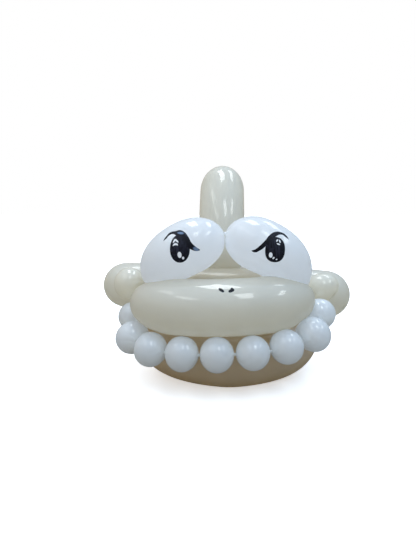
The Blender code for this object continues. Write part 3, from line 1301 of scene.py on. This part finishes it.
@dataclass
class Head:
    """The balloons of the face and the mouth.

    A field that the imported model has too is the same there, but for two that close what
    would be a chink of light: the eyes are a little thicker here, and the hidden root of
    the dorsal fin stands lower. The twisted ends of the jaw are shorter here.
    """

    lip_radius: float = 0.0296
    lip_taper: float = 2.30
    left_cheek: Limb = ((-0.1280, -0.0900, 0.1090), (-0.0940, -0.0960, 0.1045), 0.0190)
    right_cheek: Limb = ((0.0955, -0.0960, 0.0950), (0.1342, -0.0900, 0.1085), 0.0167)
    cheek_knot: Triple = (0.1233, -0.1112, 0.0943)
    jaw_radius: float = 0.0288
    floor_dent: float = 0.0012
    jaw_stub: float = 0.0008
    bridge_radius: float = 0.0250
    bridge: tuple[Triple, Triple] = ((-0.0680, -0.0930, 0.0996), (0.0680, -0.0930, 0.0996))
    tooth_radius: float = 0.0182
    tooth_sizes: tuple[float, ...] = (0.99, 1.02, 1.00, 1.00, 1.00, 0.97, 0.98, 1.04, 0.98)
    tooth_pitch: float = 0.0362
    tooth_length: float = 0.0344
    tooth_line: tuple[Triple, ...] = (
        (-0.1000, -0.0905, 0.0830),
        (-0.1080, -0.1200, 0.0590),
        (-0.0940, -0.1515, 0.0500),
        (-0.0450, -0.1735, 0.0495),
        (0.0080, -0.1796, 0.0515),
        (0.0600, -0.1727, 0.0557),
        (0.1045, -0.1460, 0.0690),
        (0.1018, -0.1150, 0.0890),
    )
    left_eye_radius: float = 0.0295
    left_eye_tapers: tuple[float, float] = (2.63, 1.49)
    left_eye: tuple[Triple, Triple, Triple] = (
        (-0.0684, -0.1025, 0.1065),
        (-0.0020, -0.1190, 0.1672),
        (-0.0249, -0.0207, 0.0039),
    )
    right_eye_radius: float = 0.0289
    right_eye_tapers: tuple[float, float] = (1.40, 3.18)
    right_eye: tuple[Triple, Triple, Triple] = (
        (0.0008, -0.1190, 0.1672),
        (0.0718, -0.1034, 0.0947),
        (0.0251, -0.0209, 0.0095),
    )
    dorsal_radius: float = 0.0280
    dorsal_tapers: tuple[float, float] = (1.02, 1.29)
    dorsal: tuple[Triple, Triple, Triple] = (
        (-0.0016, -0.0651, 0.1094),
        (0.0011, 0.0044, 0.2389),
        (-0.0011, -0.0174, 0.0097),
    )

    def lip(self) -> Balloon:
        """Makes the upper lip, with a cheek twisted on at each end."""
        line = arch(
            half_width=0.0860,
            front=-0.1603,
            back=-0.1040,
            height=0.0946,
            squareness=2.14,
            rise=-0.0030,
            roll=0.0023,
            offset=-0.0030,
        )
        long = Bubble(line, self.lip_radius, (self.lip_taper, self.lip_taper))
        row = [limb(self.left_cheek), long, limb(self.right_cheek)]
        return Balloon("upper_lip", row, DOMES, navels=(Navel(self.cheek_knot),))

    def jaw(self) -> Balloon:
        """Makes the lower jaw."""
        line = arch(
            half_width=0.0892,
            front=-0.1343,
            back=-0.0738,
            height=self.jaw_radius - self.floor_dent,
            squareness=1.57,
            rise=0.0469,
            tuck=0.07,
            offset=0.0049,
        )
        return Balloon("lower_jaw", [Bubble(line, self.jaw_radius)], skin=Skin(stub=self.jaw_stub))

    def snout(self) -> Balloon:
        """Makes the bridge that closes the snout behind the lip."""
        return Balloon("snout_bridge", [Bubble(bowed(*self.bridge), self.bridge_radius)])

    def teeth(self) -> Balloon:
        """Makes the row of teeth."""
        guide = Bubble(smooth(self.tooth_line), self.tooth_radius)
        first = guide.length - len(self.tooth_sizes) * self.tooth_pitch
        row = []
        for number, size in enumerate(self.tooth_sizes):
            twists = guide.at(first + self.tooth_pitch * np.array([number, number + 1]))
            middle, half = twists.mean(axis=0), (twists[1] - twists[0]) / 2
            half *= self.tooth_length / self.tooth_pitch
            row.append(Bubble(bowed(middle - half, middle + half), self.tooth_radius * size))
        return Balloon("teeth", row, skin=Skin(fold_depth=0.09, fold_reach=0.0045))

    def eyes(self) -> Balloon:
        """Makes the two eyes."""
        left = Bubble(bowed(*self.left_eye), self.left_eye_radius, self.left_eye_tapers)
        right = Bubble(bowed(*self.right_eye), self.right_eye_radius, self.right_eye_tapers)
        return Balloon("eyes", [left, right])

    def dorsal_fin(self) -> Balloon:
        """Makes the fin that stands up behind the eyes."""
        fin = Bubble(bowed(*self.dorsal), self.dorsal_radius, self.dorsal_tapers)
        return Balloon("dorsal_fin", [fin], (Tip.TWIST, Tip.DOME))

    def balloons(self) -> list[Balloon]:
        """Makes every balloon of the head."""
        return [self.lip(), self.snout(), self.jaw(), self.teeth(), self.eyes(), self.dorsal_fin()]


@dataclass
class Trunk:
    """The balloons of the side fins, the body and the tail.

    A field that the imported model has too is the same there. The neck of the tail is
    longer here, and nearly reaches the body.
    """

    left_fin: Limb = ((-0.1519, -0.0500, 0.0967), (-0.0040, -0.0420, 0.0960), 0.0283)
    right_fin: Limb = ((0.0040, -0.0420, 0.0964), (0.1625, -0.0510, 0.0816), 0.0303)
    fin_knot: Triple = (0.1456, -0.0791, 0.0713)
    fin_tapers: tuple[float, float] = (1.20, 1.03)
    body_radius: float = 0.0265
    shoulder: Triple = (0.0, -0.0180, 0.0930)
    tail_root: Triple = (0.0, 0.1220, 0.0720)
    spread: float = 0.0070
    spine_bulge: Triple = (0.0, 0.0, 0.0220)
    flank_bulge: Triple = (0.0190, 0.0, -0.0145)
    belly_bulge: Triple = (0.0, 0.0, -0.0520)
    upper_lobe: Limb = ((0.0, 0.1365, 0.0830), (0.0, 0.2080, 0.1850), 0.0205)
    lower_lobe: Limb = ((0.0, 0.2040, 0.0165), (0.0, 0.1350, 0.0680), 0.0175)
    tail_stub: float = 0.0085

    def fins(self) -> Balloon:
        """Makes the two side fins."""
        left = limb(self.left_fin, self.fin_tapers[::-1])
        right = limb(self.right_fin, self.fin_tapers)
        return Balloon("pectoral_fins", [left, right], DOMES, navels=(Navel(self.fin_knot),))

    def body(self) -> Balloon:
        """Makes the four bubbles of the body, side by side."""
        row = []
        bulges = (self.spine_bulge, self.flank_bulge, self.belly_bulge, mirrored(self.flank_bulge))
        for number, bulge in enumerate(bulges):
            turn = math.pi / 2 * number
            aside = self.spread * np.array([math.sin(turn), 0.0, math.cos(turn)])
            ends = [self.shoulder + aside, self.tail_root + aside]
            if number % 2:
                ends.reverse()
            row.append(Bubble(bowed(*ends, bulge), self.body_radius))
        return Balloon("body", row)

    def tail(self) -> Balloon:
        """Makes the two lobes of the tail."""
        lobes = [limb(self.lower_lobe), limb(self.upper_lobe)]
        return Balloon("tail", lobes, DOMES, skin=Skin(stub=self.tail_stub))

    def balloons(self) -> list[Balloon]:
        """Makes every balloon of the trunk."""
        return [self.fins(), self.body(), self.tail()]


@dataclass
class Shark:
    """The whole shark."""

    head: Head = field(default_factory=Head)
    trunk: Trunk = field(default_factory=Trunk)

    def finishes(self) -> dict[str, tuple[bpy.types.Material, str]]:
        """Mixes the latex of every balloon.

        Returns:
            For each node, its material and the record's slot for it.
        """
        # Painted shade: the fins, the body and the tail get the darker copy of the ivory.
        ivory = SHADED_BODY_IVORY.finish()
        plain = ("dorsal_fin", "pectoral_fins", "body", "tail")
        dressed = {name: (ivory, "ivory_latex") for name in plain}
        lip = INK.dress(IVORY, "ivory_lip_latex", NostrilInk().draw)
        dressed["upper_lip"] = (lip, "ivory_latex")
        # Painted shade: the jaw gets the darker copy of the ivory.
        dressed["lower_jaw"] = (SHADED_JAW_IVORY.finish(), "ivory_latex")
        # Painted shade: the bridge gets the darker copy of the ivory.
        dressed["snout_bridge"] = (SHADED_BRIDGE_IVORY.finish(), "ivory_latex")
        dressed["teeth"] = (TOOTH_WHITE.finish(), "white_latex")
        dressed["eyes"] = (INK.dress(WHITE, "white_latex", EyeInk().draw), "white_latex")
        return dressed

    def build(self) -> None:
        """Makes every balloon and puts it in place of its node."""
        balloons = self.head.balloons() + self.trunk.balloons()
        maker = SkinMaker([bubble for balloon in balloons for bubble in balloon.bubbles])
        finishes = self.finishes()
        for balloon in balloons:
            mesh = maker.mesh(balloon)
            piece = bpy.data.objects.new(balloon.node + "_skin", mesh)
            bpy.context.scene.collection.objects.link(piece)
            material, slot = finishes[balloon.node]
            mesh.materials.append(material)
            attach(piece, "root")
            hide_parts(balloon.node)
            log.info("%s: %d faces", piece.name, len(mesh.polygons))


# ---------------------------------------------------------------------------
# Studio
# ---------------------------------------------------------------------------


@dataclass(frozen=True)
class Panel:
    """A long panel in the ceiling that glows evenly and faces down.

    Args:
        name: Its name.
        place: X and Y of its middle.
        glow: How brightly it glows.
    """

    name: str
    place: tuple[float, float]
    glow: float

    def hang(self, height: float, size: tuple[float, float], turn: float, colour: Triple) -> None:
        """Adds the panel to the scene.

        Args:
            height: Height of the ceiling.
            size: Width and length of the panel.
            turn: How far its length is turned from Y, in radians.
            colour: Colour of its light.
        """
        light = bpy.data.lights.new(self.name, "AREA")
        light.shape = "RECTANGLE"
        light.size, light.size_y = size
        light.energy = self.glow * math.pi * size[0] * size[1]
        light.color = colour
        lamp = bpy.data.objects.new(self.name, light)
        lamp.location = (*self.place, height)
        lamp.rotation_euler = Euler((0.0, 0.0, turn))
        bpy.context.scene.collection.objects.link(lamp)


@dataclass
class Studio:
    """The floor, the light and the camera.

    The sky is a ramp of four colours from the ground up to the zenith, and each tint is
    what one side of it is multiplied by.

    Args:
        camera_place: Where the camera stands.
        camera_pitch: How far it is tilted up from looking straight down, in radians.
        lens: Its focal length, in millimetres.
        sensor: The width of its sensor, in millimetres.
        floor_span: How wide the floor is.
        floor_lift: Glow of the floor as the camera sees it.
        floor_seen: Colour of the floor as the camera sees it.
        floor_unseen: Colour of the floor in all other light.
        floor_roughness: How blurred its sheen is.
        horizon: The heights between which the ground turns to the skyline; 0 is straight
            down, and 1 is straight up.
        cloud_height: The height where the upper sky begins.
        ceiling: Height of the panels above the floor.
        panel_size: Width and length of a panel.
        panel_turn: How far its length is turned from Y, in radians.
        panel_colour: Colour of its light.
        panels: The panels.
    """

    camera_place: Triple = (-0.0239, -0.585, 0.199)
    camera_pitch: float = math.radians(80.0)
    lens: float = 27.05
    sensor: float = 36.0
    floor_span: float = 14.0
    zenith: Colour = (0.88, 1.17, 1.53, 1.0)
    upper_sky: Colour = (0.550, 0.695, 0.870, 1.0)
    skyline: Colour = (0.352, 0.345, 0.315, 1.0)
    ground: Colour = (0.228, 0.194, 0.147, 1.0)
    left_tint: Colour = (1.53, 1.28, 1.09, 1.0)
    right_tint: Colour = (0.80, 0.93, 1.05, 1.0)
    back_tint: Colour = (1.11, 1.05, 1.03, 1.0)
    floor_lift: Colour = (0.50, 0.49, 0.48, 1.0)
    floor_seen: Colour = (0.90, 0.90, 0.90, 1.0)
    floor_unseen: Colour = (0.240, 0.208, 0.163, 1.0)
    floor_roughness: float = 0.9
    horizon: tuple[float, float] = (0.47, 0.53)
    cloud_height: float = 0.88
    ceiling: float = 1.80
    panel_size: tuple[float, float] = (0.42, 0.92)
    panel_turn: float = math.radians(21.0)
    panel_colour: Triple = (0.92, 0.96, 0.98)
    panels: tuple[Panel, ...] = (
        Panel("near_panel", (-0.10, 0.32), 7.3),
        Panel("right_panel", (0.87, 0.68), 5.9),
        Panel("left_panel", (-1.22, -0.28), 2.0),
        Panel("front_panel", (0.50, -1.30), 5.0),
        Panel("front_right_panel", (1.68, -0.78), 5.5),
        Panel("front_left_panel", (-1.00, -1.42), 2.5),
    )

    def camera(self) -> None:
        """Adds the camera, a little above the shark's head and looking slightly down."""
        data = bpy.data.cameras.new("view")
        data.sensor_width = self.sensor
        data.lens = self.lens
        data.clip_start = 0.01
        camera = bpy.data.objects.new("view", data)
        camera.location = self.camera_place
        camera.rotation_euler = Euler((self.camera_pitch, 0.0, 0.0))
        bpy.context.scene.collection.objects.link(camera)
        bpy.context.scene.camera = camera

    def floor(self) -> None:
        """Lays a plain pale floor."""
        shape = bmesh.new()
        bmesh.ops.create_grid(shape, x_segments=1, y_segments=1, size=self.floor_span / 2)
        mesh = bpy.data.meshes.new("floor")
        shape.to_mesh(mesh)
        shape.free()
        floor = bpy.data.objects.new("floor", mesh)
        bpy.context.scene.collection.objects.link(floor)
        paint = Paint("pale_floor")
        seen = paint.node("ShaderNodeLightPath", {}, {}, "Is Camera Ray")
        colour = paint.blend(seen, self.floor_unseen, self.floor_seen)
        lift = paint.blend(seen, UNLIT, self.floor_lift)
        paint.set(Base_Color=colour, Roughness=self.floor_roughness)
        paint.set(Emission_Color=lift, Emission_Strength=1.0)
        mesh.materials.append(paint.material)

    def air(self) -> None:
        """Fills the room with a soft light, cool from above and warm from below."""
        world = bpy.data.worlds.new("air")
        world.use_nodes = True
        nodes = Nodes(world.node_tree)
        way = nodes.node("ShaderNodeTexCoord", {}, {}, "Generated")
        aside, back, height = (
            nodes.node("ShaderNodeSeparateXYZ", {}, {0: way}, axis).ramp(low, 1.0)
            for axis, low in (("X", -1.0), ("Y", 0.0), ("Z", -1.0))
        )
        low, high = self.horizon
        bands = (
            (0.0, self.ground),
            (low, self.ground),
            (high, self.skyline),
            (self.cloud_height, self.upper_sky),
            (1.0, self.zenith),
        )
        light = nodes.node("ShaderNodeValToRGB", {"stops": bands}, {"Fac": height}, "Color")
        light = nodes.scale(light, nodes.blend(aside, self.left_tint, self.right_tint))
        light = nodes.scale(light, nodes.blend(back, BRIGHT, self.back_tint))
        seen = nodes.node("ShaderNodeLightPath", {}, {}, "Is Camera Ray")
        air = nodes.tree.nodes["Background"]
        nodes.feed(air.inputs["Color"], nodes.blend(seen, light, BRIGHT))
        bpy.context.scene.world = world

    def build(self) -> None:
        """Sets up the whole studio."""
        self.camera()
        self.floor()
        self.air()
        for panel in self.panels:
            panel.hang(self.ceiling, self.panel_size, self.panel_turn, self.panel_colour)
        bpy.context.scene.view_settings.view_transform = "Standard"


def main() -> None:
    """Builds the dressed shark and its studio."""
    logging.basicConfig(level=logging.INFO, format="%(name)s: %(message)s")
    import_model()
    Shark().build()
    Studio().build()


if __name__ == "__main__":
    main()
